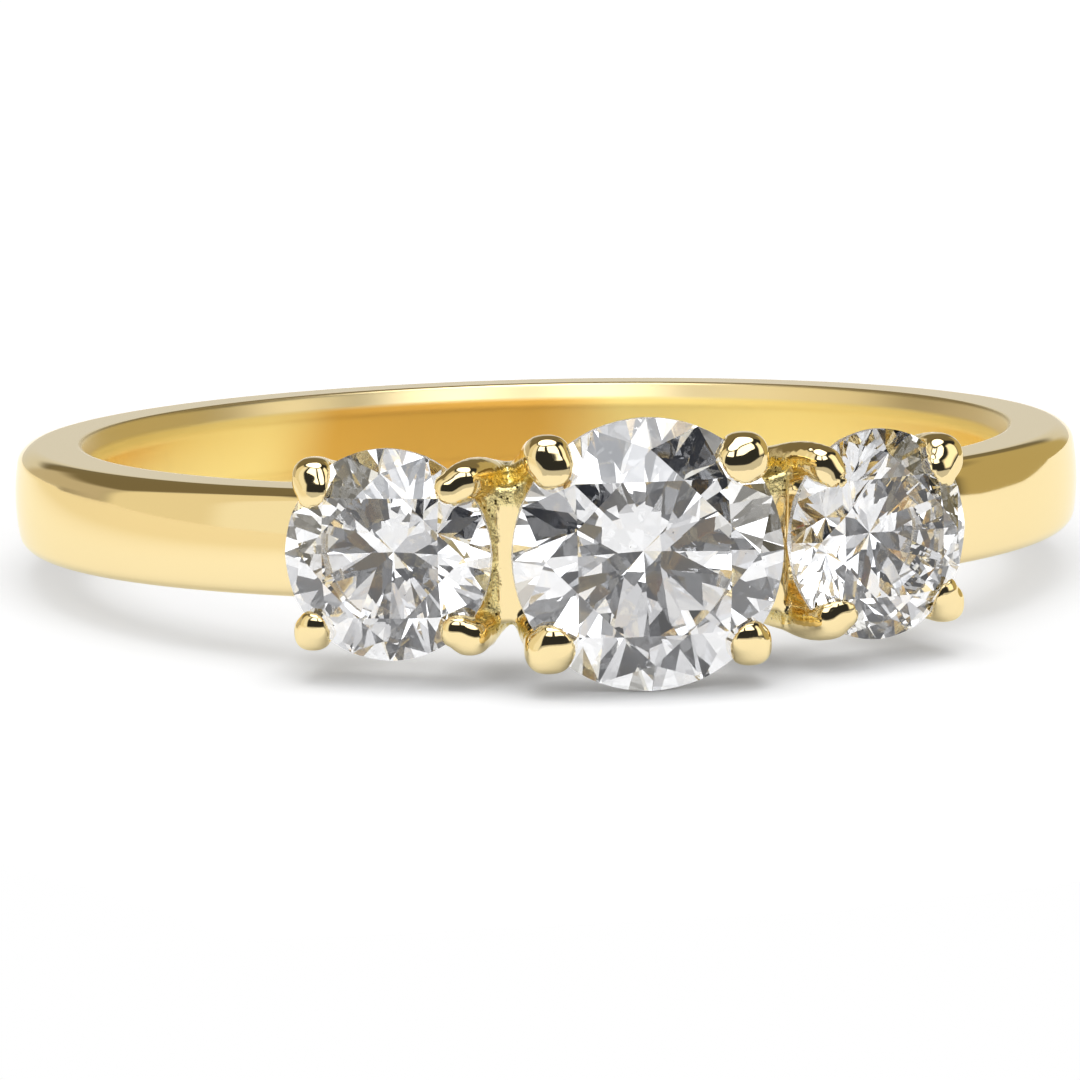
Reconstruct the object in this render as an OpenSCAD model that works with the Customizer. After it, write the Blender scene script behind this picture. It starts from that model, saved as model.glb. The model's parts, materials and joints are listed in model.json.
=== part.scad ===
// Three stone ring: a plain gold band with a row of three round brilliants in four-claw heads.
// It lies on its side as it would on a table: the stones face -Y, the finger hole opens up and down.
// It leans on the lower edge of the centre stone and on the back of the band.
// The origin is on the table, under the middle of the ring. Sizes are in millimetres.

/* [Band] */
// Inside diameter of the finger hole
finger_d = 17.2; // [14:0.1:23]
// Thickness of the band, from the finger outwards
band_t = 1.45; // [1.2:0.05:2.4]
// Width of the band along the finger
band_w = 1.95; // [1.6:0.05:3.5]
// Rise of the slightly domed outer face
band_dome = 0.12; // [0.04:0.01:0.3]
// Rounding of the band's outer edges
outer_edge_r = 0.3; // [0.1:0.05:0.5]
// Rounding of the band's inner edges
inner_edge_r = 0.12; // [0.05:0.01:0.25]

/* [Stones] */
// Diameter of the centre stone
centre_d = 4.8; // [3.8:0.05:6.5]
// Diameter of each side stone
side_d = 3.75; // [3:0.05:5]
// Height of the centre stone's point above the finger
centre_rise = 0.75; // [0.5:0.05:1.5]
// Height of each side stone's point above the finger
side_rise = 0.65; // [0.4:0.05:1.3]
// Gap between the edges of neighbouring stones, seen from the front
stone_gap = 0.25; // [0.05:0.05:0.6]

/* [Brilliant cut] */
// Table size across its corners, as a share of the diameter
table_share = 0.61; // [0.54:0.01:0.66]
// Angle of the main crown facets to the girdle
crown_angle = 34; // [31:0.5:37]
// Angle of the main pavilion facets to the girdle
pavilion_angle = 40.8; // [39:0.2:43]
// Thickness of the girdle, as a share of the diameter
girdle_share = 0.04; // [0.025:0.005:0.05]
// Distance of the star facets' tips from the axis, as a share of the radius
star_share = 0.79; // [0.76:0.01:0.84]
// Distance of the lower girdle facets' tips from the axis, as a share of the radius
lower_share = 0.22; // [0.16:0.01:0.3]

/* [Claws] */
// Diameter of the centre head's claws
centre_claw_d = 0.78; // [0.5:0.02:1]
// Diameter of the ball on each of the centre head's claws
centre_tip_d = 0.88; // [0.78:0.02:1.2]
// Diameter of the side heads' claws
side_claw_d = 0.7; // [0.5:0.02:0.9]
// Diameter of the ball on each of the side heads' claws
side_tip_d = 0.8; // [0.7:0.02:1]
// Angle of the centre head's claws to the plane of the ring
centre_claw_turn = 42.5; // [38:0.5:50]
// Angle of the side heads' claws to the plane of the ring
side_claw_turn = 45; // [38:0.5:50]
// Distance of a ball's middle outside the edge of its stone
tip_out = 0.04; // [0:0.01:0.1]
// Height of a ball's middle above the middle of the girdle
tip_rise = 0.15; // [0.1:0.01:0.25]
// How much thicker a claw is where it leaves the band
root_extra = 0.03; // [0:0.02:0.2]
// Slope away from the finger of the claws' and webs' inner ends
root_flare = 15; // [8:1:30]
// Clearance between each stone and its seat
seat_gap = 0.03; // [0.02:0.005:0.06]
// Diameter of the light hole behind the centre stone
centre_hole_d = 1.5; // [0.8:0.1:1.8]
// Diameter of the light hole behind each side stone
side_hole_d = 1.2; // [0.6:0.1:1.5]

/* [Webs] */
// Thickness of the web between two heads
web_t = 0.8; // [0.5:0.05:1.2]
// Height of the web along the finger
web_h = 2.6; // [2:0.05:3.2]
// Depth of the web's front below the edges of the stones
web_drop = 0.75; // [0.5:0.05:1.2]
// Rise of the arch between the two lower claws, and between the two upper ones
arch_rise = 0.15; // [0.05:0.05:0.3]

/* [Hidden] */

finger_r = finger_d / 2;
band_r = finger_r + band_t;
// How far solids run into the finger hole, or cuts run past a solid, before the last cut
overrun = 0.3;
// Turn from one main facet of a brilliant to the next, and half of it
MAIN_TURN = 45;
HALF_TURN = MAIN_TURN / 2;
ARC_STEPS = 5;
DOME_STEPS = 8;
// Girdle facets in each sixteenth of a stone
GIRDLE_STEPS = 4;
GIRDLE_N = 16 * GIRDLE_STEPS;

// Band section
half_w = band_w / 2;
dome_r = (half_w * half_w + band_dome * band_dome) / (2 * band_dome);
dome_mid = band_r - dome_r;
edge_z = half_w - outer_edge_r;
edge_turn = asin(edge_z / (dome_r - outer_edge_r));
edge_x = dome_mid + (dome_r - outer_edge_r) * cos(edge_turn);

// Sizes of a brilliant of diameter d
function girdle_half(d) = girdle_share * d / 2;
function table_h(d) = girdle_half(d) + (1 - table_share) * d / 2 * tan(crown_angle);
function star_h(d) =
    table_h(d) - (star_share * cos(HALF_TURN) - table_share) * d / 2 * tan(crown_angle);
function point_h(d) = girdle_half(d) + d / 2 * tan(pavilion_angle);
function lower_h(d) = point_h(d) - lower_share * d / 2 * cos(HALF_TURN) * tan(pavilion_angle);

// Places of the stones round the finger
centre_r = finger_r + centre_rise + point_h(centre_d);
side_r = finger_r + side_rise + point_h(side_d);
side_turn = atan2(side_d / 2, side_r)
    + asin((centre_d / 2 + stone_gap) / norm([side_d / 2, side_r]));
centre_edge = [centre_d / 2, centre_r];
side_edge = side_r * [sin(side_turn), cos(side_turn)]
    + side_d / 2 * [-cos(side_turn), sin(side_turn)];
web_mid = (centre_edge + side_edge) / 2;
web_turn = atan2(web_mid[0], web_mid[1]);
web_r = norm(web_mid) - web_drop;

// How the ring leans on the table
front_foot = [centre_r - girdle_half(centre_d), centre_d / 2];
foot_span = edge_x + front_foot[0];
foot_drop = front_foot[1] - edge_z;
lean = atan2(foot_drop, foot_span) - asin(outer_edge_r / norm([foot_span, foot_drop]));
rest_z = front_foot[1] * cos(lean) - front_foot[0] * sin(lean);
front_reach = (centre_r + table_h(centre_d)) * cos(lean)
    + table_share * centre_d / 2 * cos(HALF_TURN) * sin(lean);
rest_y = (front_reach - band_r * cos(lean)) / 2;

function arc(mid, r, from, to, steps) =
    [for (i = [0:steps]) mid + r * [cos(from + (to - from) * i / steps),
                                    sin(from + (to - from) * i / steps)]];

// Lies the ring down from its own frame, where the finger is along Z
module lie_down() {
    translate([0, rest_y, rest_z]) rotate([-lean, 0, 0]) children();
}

// Puts a piece that faces +Z at a place on the ring, facing out
module on_ring(turn, r) {
    rotate([0, 0, turn]) translate([0, -r, 0]) rotate([90, 0, 0]) children();
}

// Band: a flat inside, square sides and a slightly domed outside with round edges
module band() {
    section = concat(
        [[finger_r - overrun, -half_w]],
        arc([edge_x, -edge_z], outer_edge_r, -90, -edge_turn, ARC_STEPS),
        arc([dome_mid, 0], dome_r, -edge_turn * (1 - 1 / DOME_STEPS),
            edge_turn * (1 - 1 / DOME_STEPS), DOME_STEPS),
        arc([edge_x, edge_z], outer_edge_r, edge_turn, 90, ARC_STEPS),
        [[finger_r - overrun, half_w]]);
    rotate_extrude($fn = 180) polygon(section);
}

// Finger hole: a true bore with rounded mouths, which flares past the band and is cut last
module finger_hole() {
    clear_z = centre_d;
    mouth_z = half_w - inner_edge_r;
    mouth_r = finger_r + inner_edge_r;
    flare_r = mouth_r + (clear_z - half_w) * tan(root_flare);
    lower = arc([mouth_r, -mouth_z], inner_edge_r, 270, 180, ARC_STEPS);
    upper = arc([mouth_r, mouth_z], inner_edge_r, 180, 90, ARC_STEPS);
    profile = concat([[0, -clear_z], [flare_r, -clear_z]], lower, upper,
                     [[flare_r, clear_z], [0, clear_z]]);
    rotate_extrude($fn = 180) polygon(profile);
}

// One claw of a head: a straight rod from the edge of the band to a ball on the stone's edge
module claw(d, r, claw_d, tip_d, turn) {
    tip = concat((d / 2 + tip_out) * [cos(turn), sin(turn)], [tip_rise]);
    root = [tip[0], half_w, finger_r - r];
    way = tip - root;
    length = norm(way);
    translate(root)
        rotate([0, acos(way[2] / length), atan2(way[1], way[0])])
            cylinder(h = length, r1 = claw_d / 2 + root_extra, r2 = claw_d / 2, $fn = 32);
    translate(tip) sphere(d = tip_d, $fn = 32);
}

module four_claws(d, r, claw_d, tip_d, turn) {
    for (side = [0, 1], top = [0, 1])
        mirror([side, 0, 0]) mirror([0, top, 0]) claw(d, r, claw_d, tip_d, turn);
}

// Web: the wall between two heads, arched between its claws
module web() {
    depth = web_r - finger_r + overrun;
    arch_r = (web_t * web_t / 4 + arch_rise * arch_rise) / (2 * arch_rise);
    arch_z = web_h / 2 + arch_r - arch_rise;
    on_ring(0, web_r) difference() {
        translate([-web_t / 2, -web_h / 2, -depth]) cube([web_t, web_h, depth]);
        for (up = [-1, 1])
            translate([0, up * arch_z, -depth - overrun])
                cylinder(h = depth + 2 * overrun, r = arch_r, $fn = 64);
    }
}

// Seat: the room of a stone with its clearance, and the light hole from its point to the finger
module seat(d, r, hole_d) {
    g = seat_gap;
    slope = g / cos(pavilion_angle);
    edge = d / 2 + g;
    profile = [
        [0, -point_h(d) - slope],
        [lower_share * d / 2, -lower_h(d) - slope],
        [edge, -girdle_half(d) + g * tan(pavilion_angle) - slope],
        [edge, girdle_half(d) + g],
        [star_share * d / 2 + g, star_h(d) + g],
        [table_share * d / 2 + g, table_h(d) + g],
        [0, table_h(d) + g]];
    rotate_extrude($fn = 64) polygon(profile);
    translate([0, 0, finger_r - overrun - r])
        cylinder(h = r - finger_r + overrun - point_h(d) / 2, d = hole_d, $fn = 48);
}

// A round brilliant: table, 8 stars, 8 kites, 16 upper facets, girdle, 16 lower facets, 8 mains
function on_circle(r, turn, h) = [r * cos(turn), r * sin(turn), h];
// Height at which the plane through three points stands over a place
function plane_h(a, b, c, at) =
    let (n = cross(b - a, c - a)) a[2] - (n[0] * (at[0] - a[0]) + n[1] * (at[1] - a[1])) / n[2];
// Height of the girdle's edge at step j, where the facet from a tip at radius r, height h, cuts it
function edge_h(d, tip_r, tip_h, edge, j) =
    let (
        nearest = round(j / (2 * GIRDLE_STEPS)) * MAIN_TURN,
        turn = abs(j * 360 / GIRDLE_N - nearest),
        tip = on_circle(tip_r, 0, tip_h),
        mid = on_circle(d / 2, 0, edge),
        side = on_circle(d / 2, HALF_TURN, edge))
    plane_h(tip, mid, side, on_circle(d / 2, turn, 0));

module brilliant(d) {
    r = d / 2;
    n = GIRDLE_N;
    m = GIRDLE_STEPS;
    table = [for (i = [0:7]) on_circle(table_share * r, MAIN_TURN * i + HALF_TURN, table_h(d))];
    stars = [for (i = [0:7]) on_circle(star_share * r, MAIN_TURN * i, star_h(d))];
    upper = [for (j = [0:n - 1]) on_circle(r, j * 360 / n,
        edge_h(d, star_share * r, star_h(d), girdle_half(d), j))];
    lower = [for (j = [0:n - 1]) on_circle(r, j * 360 / n,
        edge_h(d, lower_share * r, -lower_h(d), -girdle_half(d), j))];
    tips = [for (i = [0:7]) on_circle(lower_share * r, MAIN_TURN * i, -lower_h(d))];
    point = [[0, 0, -point_h(d)]];
    t0 = 0;
    s0 = 8;
    u0 = 16;
    l0 = u0 + n;
    p0 = l0 + n;
    faces = concat(
        [[for (i = [7:-1:0]) t0 + i]],
        [for (i = [0:7]) [s0 + i, t0 + (i + 7) % 8, t0 + i]],
        [for (i = [0:7]) [s0 + i, t0 + i, s0 + (i + 1) % 8, u0 + (2 * i + 1) * m]],
        [for (i = [0:7], half = [0, 1])
            concat([s0 + i], [for (k = [m:-1:0]) u0 + ((2 * i + half - 1) * m + k + n) % n])],
        [for (j = [0:n - 1]) [u0 + j, u0 + (j + 1) % n, l0 + (j + 1) % n, l0 + j]],
        [for (i = [0:7], half = [0, 1])
            concat([p0 + i], [for (k = [0:m]) l0 + ((2 * i + half - 1) * m + k + n) % n])],
        [for (i = [0:7]) [p0 + i, l0 + (2 * i + 1) * m, p0 + (i + 1) % 8, p0 + 8]]);
    polyhedron(points = concat(table, stars, upper, lower, tips, point), faces = faces);
}

module gold_mount() {
    color("#e0b24a") lie_down() difference() {
        union() {
            band();
            on_ring(0, centre_r)
                four_claws(centre_d, centre_r, centre_claw_d, centre_tip_d, centre_claw_turn);
            for (side = [-1, 1]) {
                on_ring(side * side_turn, side_r)
                    four_claws(side_d, side_r, side_claw_d, side_tip_d, side_claw_turn);
                rotate([0, 0, side * web_turn]) web();
            }
        }
        on_ring(0, centre_r) seat(centre_d, centre_r, centre_hole_d);
        for (side = [-1, 1])
            on_ring(side * side_turn, side_r) seat(side_d, side_r, side_hole_d);
        finger_hole();
    }
}

module centre_stone() {
    color("#eef2f5") lie_down() on_ring(0, centre_r) brilliant(centre_d);
}

module left_stone() {
    color("#eef2f5") lie_down() on_ring(-side_turn, side_r) brilliant(side_d);
}

module right_stone() {
    color("#eef2f5") lie_down() on_ring(side_turn, side_r) brilliant(side_d);
}

gold_mount();
centre_stone();
left_stone();
right_stone();
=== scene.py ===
"""Looks of the three stone ring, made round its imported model: one cast gold ring and three round brilliants.

Lengths are in millimetres in the ring's own frame, where the finger runs along Z and the stones face -Y.
A finished mesh is laid down on the table in metres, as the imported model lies.
"""
import itertools
import json
import math

import bpy
import numpy as np
from mathutils import Matrix, Vector


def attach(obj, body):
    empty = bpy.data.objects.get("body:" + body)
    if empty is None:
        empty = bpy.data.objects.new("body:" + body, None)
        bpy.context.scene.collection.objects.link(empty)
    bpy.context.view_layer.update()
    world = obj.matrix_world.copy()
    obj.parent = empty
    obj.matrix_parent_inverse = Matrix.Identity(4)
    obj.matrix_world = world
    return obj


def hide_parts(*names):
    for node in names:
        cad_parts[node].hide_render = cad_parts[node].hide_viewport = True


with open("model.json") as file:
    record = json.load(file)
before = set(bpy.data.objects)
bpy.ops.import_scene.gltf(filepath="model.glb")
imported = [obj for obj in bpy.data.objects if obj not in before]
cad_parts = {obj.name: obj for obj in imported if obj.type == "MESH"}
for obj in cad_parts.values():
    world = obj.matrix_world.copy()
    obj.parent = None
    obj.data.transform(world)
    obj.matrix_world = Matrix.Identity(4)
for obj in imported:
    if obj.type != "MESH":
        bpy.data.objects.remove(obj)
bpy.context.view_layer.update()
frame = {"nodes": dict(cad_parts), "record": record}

# The ring's place on the table

MM = 0.001
BODY = "root"
HOLE = next(m for m in frame["record"]["mounts"] if m["name"] == "finger_hole")
FINGER_R = HOLE["dims"]["r_mm"]
FINGER_AXIS = Vector(HOLE["axis"])
LEAN = math.atan2(FINGER_AXIS.y, FINGER_AXIS.z)
RING_MIDDLE = Vector(HOLE["pos_m"])
LIE_DOWN = (
    Matrix.Translation(RING_MIDDLE) @ Matrix.Rotation(-LEAN, 4, "X") @ Matrix.Scale(MM, 4)
)

# Band
BAND_T = 1.45
BAND_W = 1.95
BAND_DOME = 0.12
OUTER_EDGE_R = 0.3
INNER_EDGE_R = 0.05
BEVEL_START = 0.52
BEVEL_SLOPE = math.tan(math.radians(27))
BEVEL_EASE = 0.02
WORN_IN = 0.04

# Cut of the brilliants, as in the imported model
TABLE_SHARE = 0.61
CROWN_ANGLE = math.radians(34)
PAVILION_ANGLE = math.radians(40.8)
GIRDLE_SHARE = 0.04
STAR_SHARE = 0.79
LOWER_SHARE = 0.22
GIRDLE_FACETS = 64
FACET_STEPS = GIRDLE_FACETS // 16
MAIN_TURN = math.radians(45)
HALF_TURN = MAIN_TURN / 2
CULET_R = 0.001
GIRDLE_LEAN = 0.1
DIAMOND_IOR = 2.417

# Seats
SEAT_GAP = 0.03
LIGHT_HOLE_SHARE = 0.32

# Webs between the heads
WEB_T = 0.8
WEB_H = 2.6
WEB_DROP = 0.75
WEB_TILT = 0.07
ARCH_RISE = 0.15
ARCH_HALF = 0.27
ARCH_TOP = 1.26
LEG_FOOT = 1.62
SADDLE_EDGE_R = 0.1
FRONT_EDGE_R = 0.08
ARCH_CORNER_R = 0.12
ARCH_EDGE_R = 0.06

# Fillets where the wax was joined, and the rounding of cut edges
CLAW_FILLET = 0.16
WEB_FILLET = 0.12
SEAT_EDGE_R = 0.03
ROOT_FLARE = math.tan(math.radians(15))

# Camera, found by fitting the ring's outline, girdles and claws in the photograph
VIEW_AZIMUTH = math.radians(-8.783)
VIEW_ELEVATION = math.radians(10.875)
VIEW_ROLL = math.radians(-0.757)
VIEW_DISTANCE = 141.0
AIM_RIGHT = -0.110
AIM_UP = -1.110
PHOTO_SIDE = 1080
PHOTO_SCALE = 52.69
SENSOR = 36.0


def girdle_half(d):
    return GIRDLE_SHARE * d / 2


def table_height(d):
    return girdle_half(d) + (1 - TABLE_SHARE) * d / 2 * math.tan(CROWN_ANGLE)


def star_height(d):
    inset = (STAR_SHARE * math.cos(HALF_TURN) - TABLE_SHARE) * d / 2
    return table_height(d) - inset * math.tan(CROWN_ANGLE)


def point_depth(d):
    return girdle_half(d) + d / 2 * math.tan(PAVILION_ANGLE)


def lower_depth(d):
    return point_depth(d) - LOWER_SHARE * d / 2 * math.cos(HALF_TURN) * math.tan(PAVILION_ANGLE)


class Head:
    """Where one stone sits: its turn round the finger, the radius of its girdle, and its diameter."""

    def __init__(self, node):
        up_right = LIE_DOWN.inverted()
        corners = [up_right @ v.co for v in frame["nodes"][node].data.vertices]
        point = min(corners, key=lambda p: math.hypot(p.x, p.y))
        self.node = node
        self.turn = math.atan2(point.x, -point.y)
        self.along = (math.cos(self.turn), math.sin(self.turn))
        self.out = (math.sin(self.turn), -math.cos(self.turn))
        off_axis = [math.hypot(p.x * self.along[0] + p.y * self.along[1], p.z) for p in corners]
        self.d = 2 * max(off_axis)
        self.r = math.hypot(point.x, point.y) + point_depth(self.d)

    def local(self, x, y, z):
        """In the head's own frame: x along the band, y along the finger, z outwards from the girdle."""
        return (
            x * self.along[0] + y * self.along[1],
            z,
            x * self.out[0] + y * self.out[1] - self.r,
        )

    def place(self):
        """Turns a stone that faces +Z, with its girdle at the origin, to its seat."""
        return (
            Matrix.Rotation(self.turn, 4, "Z")
            @ Matrix.Translation((0, -self.r, 0))
            @ Matrix.Rotation(math.radians(90), 4, "X")
        )


CENTRE, LEFT, RIGHT = (Head(n) for n in ("centre_stone", "left_stone", "right_stone"))
HEADS = (CENTRE, LEFT, RIGHT)

# Claws: one row each, told from the front. side and top say which quarter of the stone it holds; turn is
# its angle to the plane of the ring; shaft_d and tip_d are diameters; bend is how far the tip leans in;
# out is how far its middle stands off the stone's edge; shift moves it along the band; and the nose over
# the stone reaches nose mm in the direction nose_turn.
CLAW_COLUMNS = (
    "head", "side", "top", "turn", "shaft_d", "tip_d", "bend", "out", "shift", "nose_turn", "nose"
)
CLAWS = [
    dict(zip(CLAW_COLUMNS, row))
    for row in (
        (CENTRE, -1, 1, 46, 0.62, 0.78, 0.12, 0.1, -0.05, 65, 0.2),
        (CENTRE, 1, 1, 43.5, 0.68, 0.85, 0.19, 0.07, -0.03, 35, 0.18),
        (CENTRE, -1, -1, 41, 0.6, 0.82, 0.01, 0.02, 0.02, 53, 0.15),
        (CENTRE, 1, -1, 43.5, 0.61, 0.74, 0.34, 0.1, 0.03, 55, 0.15),
        (LEFT, -1, 1, 46, 0.6, 0.72, 0.24, 0.07, -0.01, 68, 0.21),
        (LEFT, 1, 1, 44.5, 0.73, 0.63, 0.24, 0.07, 0.11, 30, 0.26),
        (LEFT, -1, -1, 46, 0.62, 0.62, 0.15, 0.09, -0.06, 55, 0.14),
        (LEFT, 1, -1, 46, 0.66, 0.64, 0, 0.09, 0.11, 30, 0.22),
        (RIGHT, -1, 1, 47, 0.7, 0.63, 0.37, 0.08, 0.03, 55, 0.38),
        (RIGHT, 1, 1, 46, 0.6, 0.8, 0.36, 0.03, 0.07, 49, 0.27),
        (RIGHT, -1, -1, 48, 0.74, 0.69, 0.28, 0.12, 0.12, 38, 0.21),
        (RIGHT, 1, -1, 45, 0.72, 0.66, 0.03, 0.03, 0.02, 51, 0.26),
    )
]
TIP_RISE = 0.1
NOSE_RISE = 0.1
NOSE_SHARE = 0.95
NOSE_FILLET = 0.08
KNEE_OUT = 0.04
KNEE_DROP = 0.1
BEND_START = 0.75
BEND_IN = 0.4
ROOT_SWELL = 0.03
CLAW_STEPS = 6

# How flat the faces of a claw are: 2 is round, and more is squarer
CLAW_SQUARE = 2.45

# A distance past the size of anything here, and how far a claw can reach past its stone's edge, and past
# the middle of it
FAR = 9.0
CLAW_REACH = 1.2
CLAW_OVERLAP = 1.0


def softer_min(a, b, k):
    """Joins two solids with a fillet of about k."""
    h = np.clip(0.5 + 0.5 * (b - a) / k, 0, 1)
    return b + (a - b) * h - k * h * (1 - h)


def softer_max(a, b, k):
    return -softer_min(-a, -b, k)


def round_max(a, b, r):
    """What two solids share, with the edge between them rounded to radius r."""
    return np.minimum(np.maximum(a, b), -r) + np.hypot(np.maximum(a + r, 0), np.maximum(b + r, 0))


def ramp(x, low, high):
    """Goes smoothly from 0 at low to 1 at high."""
    t = np.clip((x - low) / (high - low), 0, 1)
    return t * t * (3 - 2 * t)


def grain(x, y, z, size, seed):
    """Smooth random bumps from -1 to 1, about one size apart."""
    side = 32
    table = np.random.default_rng(seed).uniform(-1, 1, (side, side, side))
    at = [c / size for c in (x, y, z)]
    low = [np.floor(c).astype(int) for c in at]
    t = [ramp(c - f, 0, 1) for c, f in zip(at, low)]
    total = 0
    for step in itertools.product((0, 1), repeat=3):
        weight = 1
        for axis in range(3):
            weight = weight * (t[axis] if step[axis] else 1 - t[axis])
        total = total + weight * table[tuple((low[a] + step[a]) % side for a in range(3))]
    return total


def rod(points, start, end, start_r, end_r):
    """Signed distance to a rod with rounded ends, a little flattened on its faces."""
    way = end - start
    off = points - start
    share = np.clip(off @ way / (way @ way), 0, 1)
    off = off - share[:, None] * way
    return np.linalg.norm(off, CLAW_SQUARE, axis=1) - (start_r + (end_r - start_r) * share)


def claw_line(claw):
    """Points and radii from a claw's root at the band's edge, past the girdle, to its nose on the stone."""
    head = claw["head"]
    turn = math.radians(claw["turn"])
    outward = np.array([math.cos(turn) * claw["side"], math.sin(turn) * claw["top"], 0])
    shift = np.array([claw["shift"], 0, 0])
    edge = head.d / 2 + claw["out"]
    root = np.array([outward[0] * edge, claw["top"] * BAND_W / 2, FINGER_R - head.r]) + shift
    knee = outward * (edge + KNEE_OUT) + shift + np.array([0, 0, -KNEE_DROP])
    tip = outward * (edge - BEND_IN * claw["bend"]) + shift + np.array([0, 0, TIP_RISE])
    turn = math.radians(claw["nose_turn"])
    inward = np.array([-math.cos(turn) * claw["side"], -math.sin(turn) * claw["top"], 0])
    nose = tip + inward * claw["nose"] + np.array([0, 0, NOSE_RISE])
    low = root + (knee - root) * BEND_START
    line = [root, low]
    for i in range(1, CLAW_STEPS + 1):
        t = i / CLAW_STEPS
        line.append((1 - t) ** 2 * low + 2 * t * (1 - t) * knee + t * t * tip)
    radii = [claw["shaft_d"] / 2 + ROOT_SWELL] + [
        (claw["shaft_d"] + (claw["tip_d"] - claw["shaft_d"]) * i / CLAW_STEPS) / 2
        for i in range(CLAW_STEPS + 1)
    ]
    return line + [nose], radii + [NOSE_SHARE * claw["tip_d"] / 2]


for claw in CLAWS:
    claw["line"], claw["radii"] = claw_line(claw)


def claws_depth(x, y, z):
    """Signed distance to all the claws, each with a fillet to the next."""
    depth = np.full(len(x), FAR)
    for claw in CLAWS:
        points = np.stack(claw["head"].local(x, y, z), axis=1)
        near = points[:, 0] * claw["side"] > -CLAW_OVERLAP
        near &= points[:, 1] * claw["top"] > -CLAW_OVERLAP
        near &= np.abs(points[:, 0]) < claw["head"].d / 2 + CLAW_REACH
        if not near.any():
            continue
        line, radii = claw["line"], claw["radii"]
        shaft = np.full(near.sum(), FAR)
        for i in range(len(line) - 2):
            shaft = np.minimum(shaft, rod(points[near], line[i], line[i + 1], radii[i], radii[i + 1]))
        nose = rod(points[near], line[-2], line[-1], radii[-2], radii[-1])
        depth[near] = softer_min(depth[near], softer_min(shaft, nose, NOSE_FILLET), CLAW_FILLET)
    return depth


def band_depth(x, y, z):
    """The band before the finger hole is cut: flat sides, a slightly domed outside, rounded edges."""
    reach = np.hypot(x, y)
    half_w = BAND_W / 2
    dome_r = (half_w**2 + BAND_DOME**2) / (2 * BAND_DOME)
    outside = np.hypot(reach - (FINGER_R + BAND_T - dome_r), z) - dome_r
    sides = np.abs(z) - half_w
    return round_max(outside, sides, OUTER_EDGE_R)


def hole_depth(x, y, z):
    """The finger hole: its edges bevelled for comfort, and flared past the band's sides."""
    rise = np.clip(np.abs(z) - BEVEL_START, 0, BAND_W / 2 - BEVEL_START)
    bevel = BEVEL_SLOPE * rise**2 / (rise + BEVEL_EASE)
    flare = np.maximum(np.abs(z) - BAND_W / 2, 0) * ROOT_FLARE
    return np.hypot(x, y) - FINGER_R + WORN_IN - bevel - flare


def web_place(head):
    """Turn and front radius of the web between the centre stone and a side stone."""
    side = 1 if head.turn > 0 else -1
    centre_edge = np.array([side * CENTRE.d / 2, -CENTRE.r])
    side_edge = np.array(head.out) * head.r - side * np.array(head.along) * head.d / 2
    mid = (centre_edge + side_edge) / 2
    return math.atan2(mid[0], -mid[1]), math.hypot(*mid) - WEB_DROP


def web_face(x, y, z, turn, front_r):
    """How far a point lies along a web's front face, and in front of it. The face tilts down a little."""
    along = x * math.cos(turn) + y * math.sin(turn)
    return along, x * math.sin(turn) - y * math.cos(turn) - front_r - WEB_TILT * z


def web_depth(x, y, z, turn, front_r):
    """A wall with a saddle on top, standing on two legs with a square arch between them."""
    along, out = web_face(x, y, z, turn, front_r)
    saddle_r = (WEB_T**2 / 4 + ARCH_RISE**2) / (2 * ARCH_RISE)
    saddle = saddle_r - np.hypot(along, z - (WEB_H / 2 + saddle_r - ARCH_RISE))
    arch = round_max(np.abs(along) - ARCH_HALF, z + ARCH_TOP, ARCH_CORNER_R)
    walls = round_max(np.abs(along) - WEB_T / 2, out, FRONT_EDGE_R)
    walls = np.maximum(walls, np.maximum(z - WEB_H / 2, -z - LEG_FOOT))
    return round_max(round_max(walls, saddle, SADDLE_EDGE_R), -arch, ARCH_EDGE_R)


def seat_depth(x, y, z, head):
    """The room of a stone with its clearance, and the light hole behind it."""
    px, py, pz = head.local(x, y, z)
    off = np.hypot(px, py)
    r = head.d / 2
    corners = [
        (0, -point_depth(head.d)),
        (r * LOWER_SHARE, -lower_depth(head.d)),
        (r, -girdle_half(head.d)),
        (r, girdle_half(head.d)),
        (r * STAR_SHARE, star_height(head.d)),
        (r * TABLE_SHARE, table_height(head.d)),
        (0, table_height(head.d)),
    ]
    room = np.full(len(x), -9.0)
    for (a_off, a_z), (b_off, b_z) in zip(corners, corners[1:]):
        length = math.hypot(b_off - a_off, b_z - a_z)
        side = ((off - a_off) * (b_z - a_z) - (pz - a_z) * (b_off - a_off)) / length
        room = np.maximum(room, side - SEAT_GAP)
    light = np.maximum(off - LIGHT_HOLE_SHARE * r, pz + point_depth(head.d) / 2)
    return np.minimum(room, light)


WEBS = [web_place(head) for head in (LEFT, RIGHT)]

# Where the casting is left as it came. Each pair is where it is still whole and where it has faded out:
# to the sides of a web's middle, along the finger, out from the hole, and in from the tips of the claws.
CAST_RELIEF = 0.022
CAST_GRAIN = 0.11
CAST_SIDE = (0.45, 0.75)
CAST_ALONG = (1.35, 1.6)
CAST_FLOOR = (FINGER_R + 0.9, FINGER_R + 0.5)
CAST_TOP = (11.4, 11.9)

# The strip filed bright on each web's front, from its ragged left edge, and the bright skin of the claws
FILED_LEFT = (-0.1, -0.16)
FILED_RAGGED = 0.05
FILED_GRAIN = 0.2
FILED_DEPTH = (-0.06, -0.16)
FILED_MIDDLE = -0.23
FILED_HALF = (1.0, 1.12)
CLAW_SKIN = (0.16, 0.03)


def within_reach(x, limits):
    """1 up to the first limit, falling smoothly to 0 at the second, whichever way they run."""
    whole, gone = limits
    return ramp(x, gone, whole) if gone < whole else ramp(-x, -gone, -whole)


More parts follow.
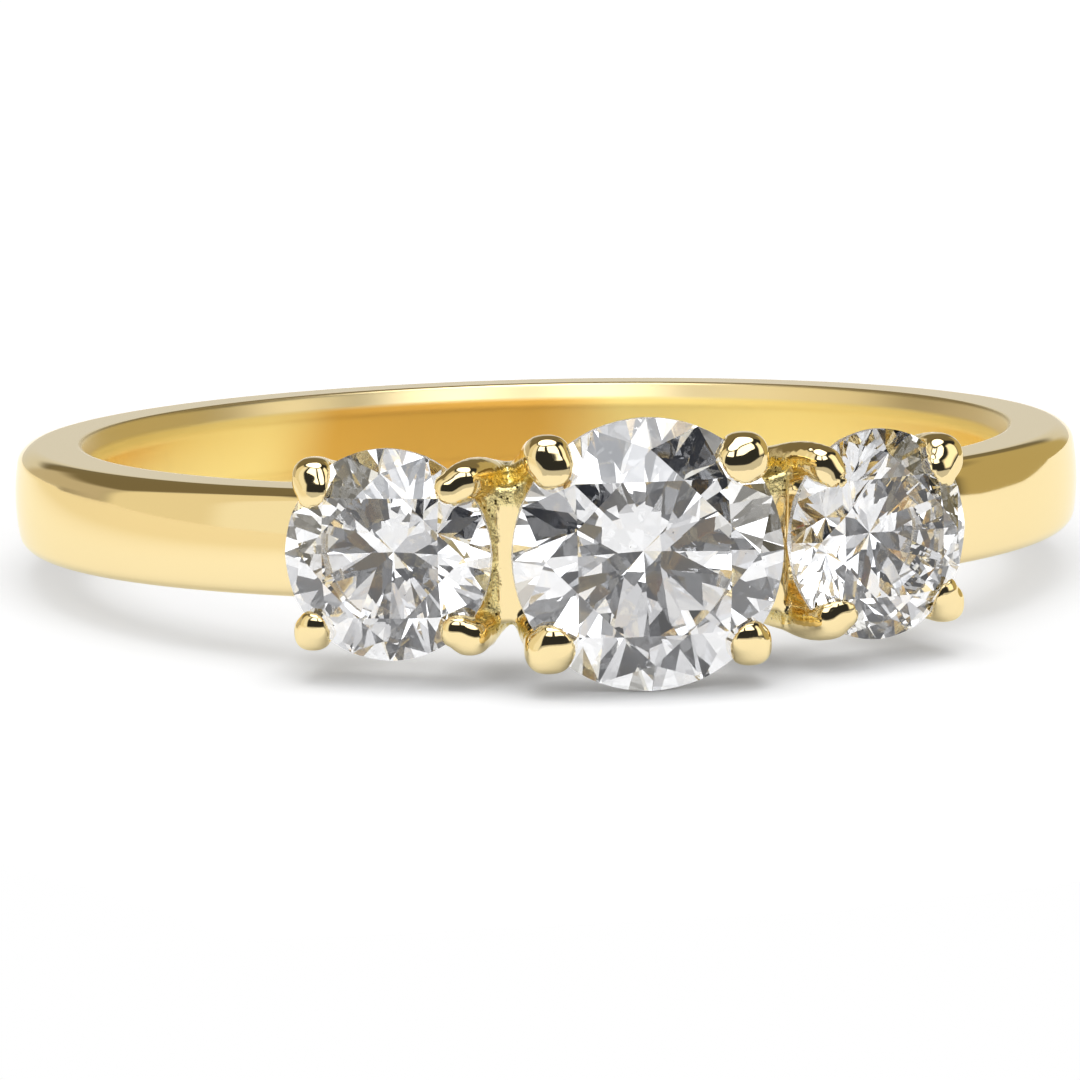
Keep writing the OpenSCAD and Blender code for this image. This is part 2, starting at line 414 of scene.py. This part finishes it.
def cast_share(x, y, z):
    """1 where the casting was left as it came, between and under the heads, and 0 where it is polished."""
    reach = np.hypot(x, y)
    turn = np.arctan2(x, -y)
    between = np.minimum(np.abs(turn - WEBS[0][0]), np.abs(turn - WEBS[1][0])) * reach
    share = within_reach(between, CAST_SIDE) * within_reach(np.abs(z), CAST_ALONG)
    filed = np.zeros(len(x))
    for place in WEBS:
        along, out = web_face(x, y, z, *place)
        ragged = along + FILED_RAGGED * grain(x, y, z, FILED_GRAIN, seed=5)
        front = within_reach(out, FILED_DEPTH) * within_reach(ragged, FILED_LEFT)
        filed = np.maximum(filed, front * within_reach(np.abs(z - FILED_MIDDLE), FILED_HALF))
    share = share * (1 - filed)
    for claw in CLAWS:
        points = np.stack(claw["head"].local(x, y, z), axis=1)
        line, radii = claw["line"], claw["radii"]
        for i in (len(line) - 4, len(line) - 2):
            skin = rod(points, line[i], line[i + 1], radii[i], radii[i + 1])
            share = share * within_reach(skin, CLAW_SKIN)
    return share * within_reach(reach, CAST_FLOOR) * within_reach(reach, CAST_TOP)


# Past this turn from the middle of the front there is only the plain band
HEADS_END = math.radians(48)


def gold_depth(points):
    """Signed distance to the cast gold, in the ring's own frame."""
    x, y, z = points.T
    hole = hole_depth(x, y, z)
    depth = band_depth(x, y, z)
    near = np.abs(np.arctan2(x, -y)) < HEADS_END
    if not near.any():
        return round_max(depth, -hole, INNER_EDGE_R)
    x, y, z = x[near], y[near], z[near]
    heads = claws_depth(x, y, z)
    for place in WEBS:
        heads = softer_min(heads, web_depth(x, y, z, *place), WEB_FILLET)
    metal = softer_min(depth[near], heads, CLAW_FILLET)
    metal = metal + CAST_RELIEF * cast_share(x, y, z) * grain(x, y, z, CAST_GRAIN, seed=3)
    for head in HEADS:
        metal = softer_max(metal, -seat_depth(x, y, z, head), SEAT_EDGE_R)
    depth[near] = metal
    return round_max(depth, -hole, INNER_EDGE_R)


def ladder(low, high, step):
    return np.linspace(low, high, int(math.ceil((high - low) / step)) + 1)


def surface_net(values):
    """One vertex in each cell that the surface crosses, and a quad round each crossed edge of the grid.

    values holds signed distances and is closed round its first axis. Returns vertices in grid steps.
    """
    n = values.shape[0]
    wrapped = np.concatenate([values, values[:1]])
    offsets = np.array(list(itertools.product((0, 1), repeat=3)))
    size = np.array(values.shape) - (0, 1, 1)
    corner = [wrapped[a : a + n, b : b + size[1], c : c + size[2]] for a, b, c in offsets]
    filled = sum((c < 0).astype(np.int8) for c in corner)
    crossed = (filled > 0) & (filled < 8)
    number = np.full(crossed.shape, -1)
    number[crossed] = np.arange(crossed.sum())
    at = np.stack([c[crossed] for c in corner], axis=1)
    total, hits = np.zeros((len(at), 3)), np.zeros(len(at))
    for p, q in itertools.combinations(range(8), 2):
        if np.abs(offsets[p] - offsets[q]).sum() != 1:
            continue
        cut = (at[:, p] < 0) != (at[:, q] < 0)
        share = at[cut, p] / (at[cut, p] - at[cut, q])
        total[cut] += offsets[p] + share[:, None] * (offsets[q] - offsets[p])
        hits[cut] += 1
    vertices = np.argwhere(crossed) + total / hits[:, None]
    inside = wrapped < 0
    back = np.roll(number, 1, axis=0)
    rounds = [
        (inside[:-1, 1:-1, 1:-1], inside[1:, 1:-1, 1:-1],
         number[:, :-1, :-1], number[:, 1:, :-1], number[:, 1:, 1:], number[:, :-1, 1:]),
        (inside[:-1, :-1, 1:-1], inside[:-1, 1:, 1:-1],
         back[:, :, :-1], back[:, :, 1:], number[:, :, 1:], number[:, :, :-1]),
        (inside[:-1, 1:-1, :-1], inside[:-1, 1:-1, 1:],
         back[:, :-1, :], number[:, :-1, :], number[:, 1:, :], back[:, 1:, :]),
    ]
    quads = []
    for here, there, *cells in rounds:
        for cut, order in ((here & ~there, (3, 2, 1, 0)), (there & ~here, (0, 1, 2, 3))):
            quads.append(np.stack([cells[o][cut] for o in order], axis=1))
    return vertices, np.concatenate(quads)


# The grid that the surface is found on: fine across the heads, in longer steps round the plain band
HEAD_SPAN = math.radians(40)
GRID_STEP = 0.055
BAND_STEP = math.radians(1.5)
OUTER_REACH = 12.4
HALF_HEIGHT = 2.35

# How the points found are then slid on to the surface itself
SLIDE_ROUNDS = 4
SLOPE_STEP = 0.004
LEAST_SLOPE = 0.25
LONGEST_SLIDE = 0.03


def slide_to_surface(points):
    """Moves points along the field's slope until they lie on the surface."""
    for _ in range(SLIDE_ROUNDS):
        value, slope = gold_depth(points), field_slope(points)
        move = value[:, None] * slope / np.maximum((slope**2).sum(1), LEAST_SLOPE)[:, None]
        length = np.linalg.norm(move, axis=1)
        points = points - move * np.minimum(1, LONGEST_SLIDE / np.maximum(length, 1e-9))[:, None]
    return points


def field_slope(points):
    slope = np.zeros_like(points)
    for axis in range(3):
        shift = np.zeros(3)
        shift[axis] = SLOPE_STEP
        slope[:, axis] = (gold_depth(points + shift) - gold_depth(points - shift)) / (2 * SLOPE_STEP)
    return slope


def cast_ring():
    """The whole gold ring as one closed mesh of quads."""
    fine = ladder(-HEAD_SPAN, HEAD_SPAN, GRID_STEP / CENTRE.r)
    coarse = ladder(HEAD_SPAN, 2 * math.pi - HEAD_SPAN, BAND_STEP)[1:-1]
    turns = np.concatenate([fine, coarse])
    reaches = ladder(FINGER_R - 3 * GRID_STEP, OUTER_REACH, GRID_STEP)
    heights = ladder(-HALF_HEIGHT, HALF_HEIGHT, GRID_STEP)
    reach, height = np.meshgrid(reaches, heights, indexing="ij")
    values = np.empty((len(turns), *reach.shape))
    for i, turn in enumerate(turns):
        points = np.stack([reach * math.sin(turn), -reach * math.cos(turn), height], axis=-1)
        values[i] = gold_depth(points.reshape(-1, 3)).reshape(reach.shape)
    grid, quads = surface_net(values)
    turn = np.interp(grid[:, 0], np.arange(len(turns) + 1), np.append(turns, turns[0] + 2 * math.pi))
    reach = np.interp(grid[:, 1], np.arange(len(reaches)), reaches)
    height = np.interp(grid[:, 2], np.arange(len(heights)), heights)
    points = np.stack([reach * np.sin(turn), -reach * np.cos(turn), height], axis=1)
    return slide_to_surface(points), quads


def solid_object(name, points, faces, smooth):
    """A mesh object from points in the ring's own frame, laid down on the table."""
    mesh = bpy.data.meshes.new(name)
    mesh.from_pydata(points, [], faces)
    mesh.transform(LIE_DOWN)
    mesh.polygons.foreach_set("use_smooth", [smooth] * len(mesh.polygons))
    mesh.update()
    piece = bpy.data.objects.new(name, mesh)
    bpy.context.scene.collection.objects.link(piece)
    return piece


# Nodes


class Signal:
    """A node's output. Arithmetic on it adds Math nodes, so a formula is written as one."""

    def __init__(self, tree, socket):
        self.tree = tree
        self.socket = socket

    def maths(self, operation, *values):
        return self.tree.add("ShaderNodeMath", {"operation": operation}, *values)

    def tangent(self):
        return self.maths("TANGENT", self)

    def cosine(self):
        return self.maths("COSINE", self)

    def __add__(self, other):
        return self.maths("ADD", self, other)

    def __radd__(self, other):
        return self.maths("ADD", other, self)

    def __sub__(self, other):
        return self.maths("SUBTRACT", self, other)

    def __rsub__(self, other):
        return self.maths("SUBTRACT", other, self)

    def __mul__(self, other):
        return self.maths("MULTIPLY", self, other)

    def __rmul__(self, other):
        return self.maths("MULTIPLY", other, self)

    def __truediv__(self, other):
        return self.maths("DIVIDE", self, other)

    def __rtruediv__(self, other):
        return self.maths("DIVIDE", other, self)

    def __neg__(self):
        return self.maths("MULTIPLY", self, -1)

    def __abs__(self):
        return self.maths("ABSOLUTE", self)

    def within(self, low, high):
        """0 below low, 1 above high, and a smooth step between."""
        settings = {"clamp": True, "interpolation_type": "SMOOTHSTEP"}
        return self.tree.add("ShaderNodeMapRange", settings, self, low, high, 0, 1)


class Tree:
    """Adds nodes to one tree. add() takes a node's type, its settings, and what its sockets get."""

    def __init__(self, node_tree):
        self.nodes = node_tree.nodes
        self.links = node_tree.links
        self.nodes.clear()

    def add(self, kind, settings, *values, output=0, **named):
        node = self.nodes.new(kind)
        for key, value in settings.items():
            setattr(node, key, value)
        pairs = list(enumerate(values))
        pairs += [(key.replace("_", " "), value) for key, value in named.items()]
        for key, value in pairs:
            if value is None:
                continue
            if isinstance(value, Signal):
                self.links.new(value.socket, node.inputs[key])
            else:
                node.inputs[key].default_value = value
        return Signal(self, node.outputs[output]) if node.outputs else node

    def blend(self, share, first, second):
        """One colour where share is 0 and the other where it is 1."""
        sockets = (share, None, None, None, None, None, first, second)
        return self.add("ShaderNodeMix", {"data_type": "RGBA"}, *sockets, output=2)


def shader(name):
    material = bpy.data.materials.new(name)
    material.use_nodes = True
    return material, Tree(material.node_tree)


def mark(mesh, name, values):
    """Keeps one value a vertex on the mesh, for its material to read."""
    attribute = mesh.attributes.new(name, "FLOAT", "POINT")
    attribute.data.foreach_set("value", np.asarray(values, dtype=np.float32))


GOLD = (0.93, 0.755, 0.41, 1)
PAINTED_DEEP_BOUNCE_GOLD = (0.8, 0.46, 0.09, 1)
WARM_GOLD = (0.88, 0.76, 0.33, 1)
PAINTED_PALE_REFLECTION_GOLD = (1.0, 0.79, 0.29, 1)
PIT_GOLD = (0.08, 0.05, 0.01, 1)

# The wall inside carries a painted reflection: deep gold round this place across the ring, standing in for
# light bounced between the gold walls, and paler, brighter gold to its left and right
PAINTED_DEEP_MIDDLE = -1.0


def polished_gold():
    """Bright outside; hazier on the worn wall inside, which carries a painted reflection deeper in colour;
    grainy where left as cast.
    """
    material, tree = shader("polished_gold")
    place = tree.add("ShaderNodeTexCoord", {}, output="Object")
    across = abs(tree.add("ShaderNodeSeparateXYZ", {}, place) / MM - PAINTED_DEEP_MIDDLE)
    wear_and_reflection = tree.add("ShaderNodeAttribute", {"attribute_name": "worn_inside"}, output="Fac")
    cast = tree.add("ShaderNodeAttribute", {"attribute_name": "as_cast"}, output="Fac")
    crease = tree.add("ShaderNodeAttribute", {"attribute_name": "crease"}, output="Fac")
    haze = tree.add("ShaderNodeTexNoise", {}, place, Scale=900.0, Detail=3.0)
    cloud = tree.add("ShaderNodeTexNoise", {}, place, Scale=230.0, Detail=2.0)
    sand = tree.add("ShaderNodeTexNoise", {}, place, Scale=14000.0, Detail=4.0)
    pit = (1 - tree.add("ShaderNodeTexVoronoi", {}, place, Scale=8000.0).within(0.14, 0.26)) * cast
    # painted reflection on the wall inside: deep gold for light bounced between the walls, paler to the sides
    inside = tree.blend((across + 4 * cloud - 2).within(1.6, 4.0), PAINTED_DEEP_BOUNCE_GOLD, PAINTED_PALE_REFLECTION_GOLD)
    colour = tree.blend(wear_and_reflection.within(0.85, 0.99), GOLD, inside)
    bump = tree.add("ShaderNodeBump", {}, Strength=0.9, Distance=0.00003, Height=sand * cast)
    wear = (0.2 + 0.1 * cloud) * wear_and_reflection.within(0.0, 0.3)
    surface = tree.add(
        "ShaderNodeBsdfPrincipled",
        {},
        Base_Color=tree.blend(pit, tree.blend(0.7 * cast, colour, WARM_GOLD), PIT_GOLD),
        Metallic=1.0,
        Roughness=0.04 + 0.05 * haze + wear + 0.3 * crease + 0.14 * cast,
        Specular_Tint=(1.0, 0.97, 0.84, 1),
        Normal=bump,
    )
    tree.add("ShaderNodeOutputMaterial", {}, surface)
    return material


def cut_diamond():
    """Clear and very slightly cool, with a speck of dust on the surface here and there."""
    material, tree = shader("cut_diamond")
    place = tree.add("ShaderNodeTexCoord", {}, output="Object")
    speck = tree.add("ShaderNodeTexVoronoi", {}, place, Scale=3500.0)
    chance = tree.add("ShaderNodeTexVoronoi", {}, place, Scale=3500.0, output="Color")
    drawn = tree.add("ShaderNodeSeparateColor", {}, chance)
    dust = (1 - speck.within(0.05, 0.09)) * drawn.within(0.93, 0.94)
    clear = tree.add(
        "ShaderNodeBsdfPrincipled",
        {},
        Base_Color=(0.988, 0.991, 1.0, 1),
        Roughness=0.0,
        IOR=DIAMOND_IOR,
        Transmission_Weight=1.0,
    )
    dusty = tree.add("ShaderNodeBsdfPrincipled", {}, Base_Color=(0.85, 0.86, 0.88, 1), Roughness=0.8)
    surface = tree.add("ShaderNodeMixShader", {}, 0.8 * dust, clear, dusty)
    tree.add("ShaderNodeOutputMaterial", {}, surface)
    return material


# Gold

# Where the wall inside is worn and carries its painted reflection, out from the finger hole, and where the
# bevel starts in a dull crease
WORN_AND_PAINTED_DEPTH = (-0.02, 0.3)
CREASE_DEPTH = (0.1, 0.3)
CREASE_MIDDLE = BEVEL_START + 0.05
CREASE_HALF = (0.07, 0.15)

points, quads = cast_ring()
gold = solid_object("cast_gold_ring", points, quads.tolist(), True)
x, y, z = points.T
depth = np.hypot(x, y) - FINGER_R
crease = within_reach(np.abs(np.abs(z) - CREASE_MIDDLE), CREASE_HALF) * within_reach(depth, CREASE_DEPTH)
# the wall inside, worn and given its painted reflection
mark(gold.data, "worn_inside", within_reach(depth, WORN_AND_PAINTED_DEPTH))
mark(gold.data, "crease", crease)
mark(gold.data, "as_cast", cast_share(x, y, z))
gold.data.materials.append(polished_gold())
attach(gold, BODY)
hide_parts("gold_mount")

# Diamonds


class Recipe:
    """A Geometry Nodes tree with named inputs, run on one object and turned into a plain mesh."""

    def __init__(self, name, inputs):
        self.group = bpy.data.node_groups.new(name, "GeometryNodeTree")
        self.tree = Tree(self.group)
        self.group.interface.new_socket("Shape", in_out="OUTPUT", socket_type="NodeSocketGeometry")
        self.keys = {
            label: self.group.interface.new_socket(
                label, in_out="INPUT", socket_type="NodeSocketFloat"
            ).identifier
            for label in inputs
        }
        start = self.tree.nodes.new("NodeGroupInput")
        self.values = [Signal(self.tree, start.outputs[i]) for i in range(len(inputs))]

    def end(self, shape):
        whole = self.tree.add("GeometryNodeRealizeInstances", {}, shape)
        self.tree.add("NodeGroupOutput", {}, whole)

    def make(self, name, **values):
        holder = bpy.data.objects.new(name, bpy.data.meshes.new(name))
        bpy.context.scene.collection.objects.link(holder)
        modifier = holder.modifiers.new(name, "NODES")
        modifier.node_group = self.group
        for label, value in values.items():
            modifier[self.keys[label]] = float(value)
        bpy.context.view_layer.update()
        finished = holder.evaluated_get(bpy.context.evaluated_depsgraph_get())
        mesh = bpy.data.meshes.new_from_object(finished)
        holder.modifiers.remove(modifier)
        holder.data = mesh
        mesh.name = name
        drop_empty_slots(mesh)
        return holder


def drop_empty_slots(mesh):
    finishes = list(mesh.materials)
    kept = [m for m in finishes if m]
    slots = [kept.index(finishes[face.material_index]) for face in mesh.polygons]
    mesh.materials.clear()
    for finish in kept:
        mesh.materials.append(finish)
    mesh.polygons.foreach_set("material_index", slots)


def brilliant_cut(facet, girdle_finish):
    """A round brilliant facing +Z, as the hull of the corners of its facets."""
    labels = ("diameter", "table", "crown", "pavilion", "girdle", "star", "lower")
    recipe = Recipe("brilliant_cut", labels)
    tree = recipe.tree
    diameter, table, crown, pavilion, girdle, star, lower = recipe.values
    r = diameter * 0.5
    edge = girdle * r
    table_h = edge + (1 - table) * r * crown.tangent()
    star_h = table_h - (star * math.cos(HALF_TURN) - table) * r * crown.tangent()
    point_h = edge + r * pavilion.tangent()
    lower_h = point_h - lower * r * math.cos(HALF_TURN) * pavilion.tangent()

    def corners(count, radius, height, turn=0.0):
        circle = tree.add("GeometryNodeMeshCircle", {"fill_type": "NONE"}, count, radius)
        lift = tree.add("ShaderNodeCombineXYZ", {}, 0, 0, height)
        return tree.add(
            "GeometryNodeTransform", {}, Geometry=circle, Translation=lift, Rotation=(0, 0, turn)
        )

    def girdle_edge(tip, tip_h, height):
        """The wavy line where the halves round each tip cut the girdle."""
        place = tree.add("GeometryNodeInputIndex", {})
        step = place.maths("MODULO", place, FACET_STEPS) - FACET_STEPS / 2
        bulge = (step * (2 * math.pi / GIRDLE_FACETS)).cosine() - math.cos(HALF_TURN / 2)
        drop = (tip_h - height) * bulge / ((tip - 1) * math.cos(HALF_TURN / 2))
        circle = tree.add("GeometryNodeMeshCircle", {"fill_type": "NONE"}, GIRDLE_FACETS, r)
        lift = tree.add("ShaderNodeCombineXYZ", {}, 0, 0, height + drop)
        return tree.add("GeometryNodeSetPosition", {}, Geometry=circle, Offset=lift)

    parts = [
        corners(8, table * r, table_h, HALF_TURN),
        corners(8, star * r, star_h),
        girdle_edge(star, star_h, edge),
        girdle_edge(lower, -lower_h, -edge),
        corners(8, lower * r, -lower_h),
        corners(3, CULET_R, -point_h),
    ]
    join = tree.nodes.new("GeometryNodeJoinGeometry")
    for part in parts:
        tree.links.new(part.socket, join.inputs[0])
    hull = tree.add("GeometryNodeConvexHull", {}, Signal(tree, join.outputs[0]))
    flat = tree.add("GeometryNodeSetShadeSmooth", {}, hull, None, False)
    polished = tree.add("GeometryNodeSetMaterial", {}, Geometry=flat, Material=facet)
    facing = tree.nodes.new("ShaderNodeSeparateXYZ")
    tree.links.new(tree.add("GeometryNodeInputNormal", {}).socket, facing.inputs[0])
    lean = abs(Signal(tree, facing.outputs[2]))
    upright = lean.maths("LESS_THAN", lean, GIRDLE_LEAN)
    recipe.end(
        tree.add(
            "GeometryNodeSetMaterial", {}, Geometry=polished, Selection=upright, Material=girdle_finish
        )
    )
    return recipe


def ground_girdle():
    """The rim of a stone, ground and left unpolished."""
    material, tree = shader("ground_girdle")
    place = tree.add("ShaderNodeTexCoord", {}, output="Object")
    frost = tree.add("ShaderNodeTexNoise", {}, place, Scale=9000.0, Detail=3.0)
    surface = tree.add(
        "ShaderNodeBsdfPrincipled",
        {},
        Base_Color=(1, 1, 1, 1),
        Roughness=0.12 + 0.3 * frost,
        IOR=DIAMOND_IOR,
        Transmission_Weight=1.0,
        Normal=tree.add("ShaderNodeBump", {}, Strength=0.5, Distance=0.00002, Height=frost),
    )
    tree.add("ShaderNodeOutputMaterial", {}, surface)
    return material


CUT = dict(
    table=TABLE_SHARE,
    crown=CROWN_ANGLE,
    pavilion=PAVILION_ANGLE,
    girdle=GIRDLE_SHARE,
    star=STAR_SHARE,
    lower=LOWER_SHARE,
)
cut = brilliant_cut(cut_diamond(), ground_girdle())
for head, name in ((CENTRE, "centre_brilliant"), (LEFT, "left_brilliant"), (RIGHT, "right_brilliant")):
    stone = cut.make(name, diameter=head.d, **CUT)
    stone.data.transform(LIE_DOWN @ head.place())
    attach(stone, BODY)
    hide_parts(head.node)

# Table, light and camera

# The white sheet on the table: its corners in mm, told from the front right, anticlockwise from above
SHEET = (
    (12, -24), (13, -15.5), (60, -24), (400, -12), (70, 2), (42, 11), (50, 130), (-36, 130), (-44, 36),
    (-400, 190), (-400, -190), (-40, -27), (-14, -18), (-9, -27), (0, -27),
)

# The sheet itself: white near the ring, with a painted falloff of its light, dimmer and warmer, from 13 to 26
# mm to its left. It glows too, painted light that lifts it to white and lightens its shadows, and where the
# stones
# stand close over it that glow is darkened into a painted contact shadow. The band casts no such painted
# shadow:
# it starts 4 to 6 mm in front of the ring's middle.
SHEET_WHITE = (0.54, 0.542, 0.546, 1)
SHEET_LIGHT = (0.53, 0.532, 0.537, 1)
# painted falloff: the dimmer, warmer sheet to the left, where its light falls off
SHEET_PAINTED_FALLOFF = (0.465, 0.435, 0.365, 1)
SHEET_SHADE = (0.04, 0.04, 0.04, 1)
SHADE_REACH = 1.1
SHADE_FRONT = (-6.0, -4.0)
SHEET_FADE = (13.0, 26.0)
FADE_SLANT = 0.075
# painted light: how strongly the sheet glows
SHEET_PAINTED_GLOW = 1.03

# What stands round the table, seen from the ring: middle, half width, foot and top in degrees, with turn 0
# towards the viewer and 90 to the right; the softness of its edges; and the light it sends.
SURROUNDINGS = (
    ("bare_table", 5, 70, -90, -0.5, 1, (0.64, 0.64, 0.65)),
    ("back_wall", 180, 42, -90, 13, 3, (0.7, 0.69, 0.68)),
    ("behind_above", 180, 62, 13, 60, 4, (0.2, 0.17, 0.11)),
    ("wooden_shelf", 121, 30, -90, 34, 4, (0.5, 0.42, 0.22)),
    ("left_rear", -140, 22, -3, 20, 4, (0.55, 0.5, 0.42)),
    ("left_card", -98, 20, -90, 58, 4, (0.86, 0.8, 0.64)),
    ("near_left_card", -72, 12, -90, 60, 4, (0.98, 0.96, 0.88)),
    ("right_card", 72, 14, 4, 48, 4, (1.3, 1.25, 1.12)),
    ("left_window", -30, 20, 33, 60, 1, (2.1, 2.15, 2.24)),
    ("right_window", 22, 20, 33, 60, 1, (2.1, 2.15, 2.24)),
    ("lamp_hood", 0, 180, 66, 91, 3, (3.0, 3.02, 3.08)),
)
ROOM = (0.03, 0.032, 0.038)


def table_top():
    """The white sheet that the ring lies on."""
    mesh = bpy.data.meshes.new("table_top")
    corners = [(MM * x, MM * y, 0) for x, y in SHEET]
    mesh.from_pydata(corners, [], [tuple(range(len(corners)))])
    floor = bpy.data.objects.new("table_top", mesh)
    bpy.context.scene.collection.objects.link(floor)
    material, tree = shader("white_sheet")
    place = tree.add("ShaderNodeTexCoord", {}, output="Object")
    split = tree.nodes.new("ShaderNodeSeparateXYZ")
    tree.links.new(place.socket, split.inputs[0])
    left, back = Signal(tree, split.outputs[0]) / -MM, Signal(tree, split.outputs[1]) / MM
    away = left - FADE_SLANT * back
    fibre = tree.add("ShaderNodeTexNoise", {}, place, Scale=300.0, Detail=4.0)
    # painted falloff of light: the sheet turns dimmer and warmer away to its left
    paper_and_painted_falloff = tree.blend(away.within(*SHEET_FADE), tree.blend(fibre, SHEET_LIGHT, SHEET_WHITE), SHEET_PAINTED_FALLOFF)
    # painted contact shadow: the sheet's glow is darkened where the stones stand close over it, only in front
    near = tree.add("ShaderNodeAmbientOcclusion", {"samples": 4}, None, SHADE_REACH * MM, output="AO")
    open_sky = 1 - (1 - near) * (1 - back.within(*SHADE_FRONT))
    surface = tree.add(
        "ShaderNodeBsdfPrincipled",
        {},
        Base_Color=paper_and_painted_falloff,
        Roughness=0.7,
        # painted light: the sheet glows, lifting it to white and lightening its shadows
        Emission_Color=tree.blend(open_sky, SHEET_SHADE, paper_and_painted_falloff),
        Emission_Strength=SHEET_PAINTED_GLOW,
    )
    tree.add("ShaderNodeOutputMaterial", {}, surface)
    mesh.materials.append(material)


def studio():
    """Lights the ring with what stands round the table. The camera itself sees plain white there."""
    world = bpy.data.worlds.new("studio")
    bpy.context.scene.world = world
    world.use_nodes = True
    tree = Tree(world.node_tree)
    way = tree.add("ShaderNodeTexCoord", {}, output="Generated")
    split = tree.nodes.new("ShaderNodeSeparateXYZ")
    tree.links.new(way.socket, split.inputs[0])
    dx, dy, dz = (Signal(tree, split.outputs[i]) for i in range(3))
    turn = tree.add("ShaderNodeMath", {"operation": "ARCTAN2"}, dx, -dy)
    rise = tree.add("ShaderNodeMath", {"operation": "ARCSINE"}, dz)

    def stands(middle, half, foot, top, soft):
        """1 on a thing that stands round the table, 0 off it."""
        middle, half, foot, top, soft = (math.radians(v) for v in (middle, half, foot, top, soft))
        turned = turn + (math.pi - middle)
        off = abs(turned.maths("FLOORED_MODULO", turned, 2 * math.pi) - math.pi)
        across = 1 - off.within(half - soft, half + soft)
        return across * rise.within(foot - soft, foot + soft) * (1 - rise.within(top - soft, top + soft))

    light = (*ROOM, 1)
    for _, middle, half, foot, top, soft, glow in SURROUNDINGS:
        light = tree.blend(stands(middle, half, foot, top, soft), light, (*glow, 1))
    seen = tree.add("ShaderNodeBackground", {}, (1, 1, 1, 1), 1.0)
    lit = tree.add("ShaderNodeBackground", {}, light, 1.0)
    camera_ray = tree.add("ShaderNodeLightPath", {}, output="Is Camera Ray")
    tree.add("ShaderNodeOutputWorld", {}, tree.add("ShaderNodeMixShader", {}, camera_ray, lit, seen))


def camera():
    """The photograph's camera, turned and aimed as the fit found it."""
    right = Vector((math.cos(VIEW_AZIMUTH), math.sin(VIEW_AZIMUTH), 0))
    back = Vector((
        math.sin(VIEW_AZIMUTH) * math.cos(VIEW_ELEVATION),
        -math.cos(VIEW_AZIMUTH) * math.cos(VIEW_ELEVATION),
        math.sin(VIEW_ELEVATION),
    ))
    up = back.cross(right)
    tilt_right = math.cos(VIEW_ROLL) * right + math.sin(VIEW_ROLL) * up
    tilt_up = math.cos(VIEW_ROLL) * up - math.sin(VIEW_ROLL) * right
    data = bpy.data.cameras.new("camera")
    data.sensor_width = SENSOR
    data.lens = PHOTO_SCALE * VIEW_DISTANCE / PHOTO_SIDE * SENSOR
    data.clip_start = 0.01
    data.clip_end = 10
    place = RING_MIDDLE + MM * (back * VIEW_DISTANCE + tilt_right * AIM_RIGHT + tilt_up * AIM_UP)
    eye = bpy.data.objects.new("camera", data)
    eye.matrix_world = Matrix((
        (tilt_right.x, tilt_up.x, back.x, place.x),
        (tilt_right.y, tilt_up.y, back.y, place.y),
        (tilt_right.z, tilt_up.z, back.z, place.z),
        (0, 0, 0, 1),
    ))
    bpy.context.scene.collection.objects.link(eye)
    bpy.context.scene.camera = eye


table_top()
studio()
camera()

scene = bpy.context.scene
scene.view_settings.view_transform = "Standard"
scene.cycles.max_bounces = 20
scene.cycles.transmission_bounces = 16
scene.cycles.glossy_bounces = 12
scene.cycles.diffuse_bounces = 3
scene.cycles.caustics_reflective = False
scene.cycles.use_denoising = True
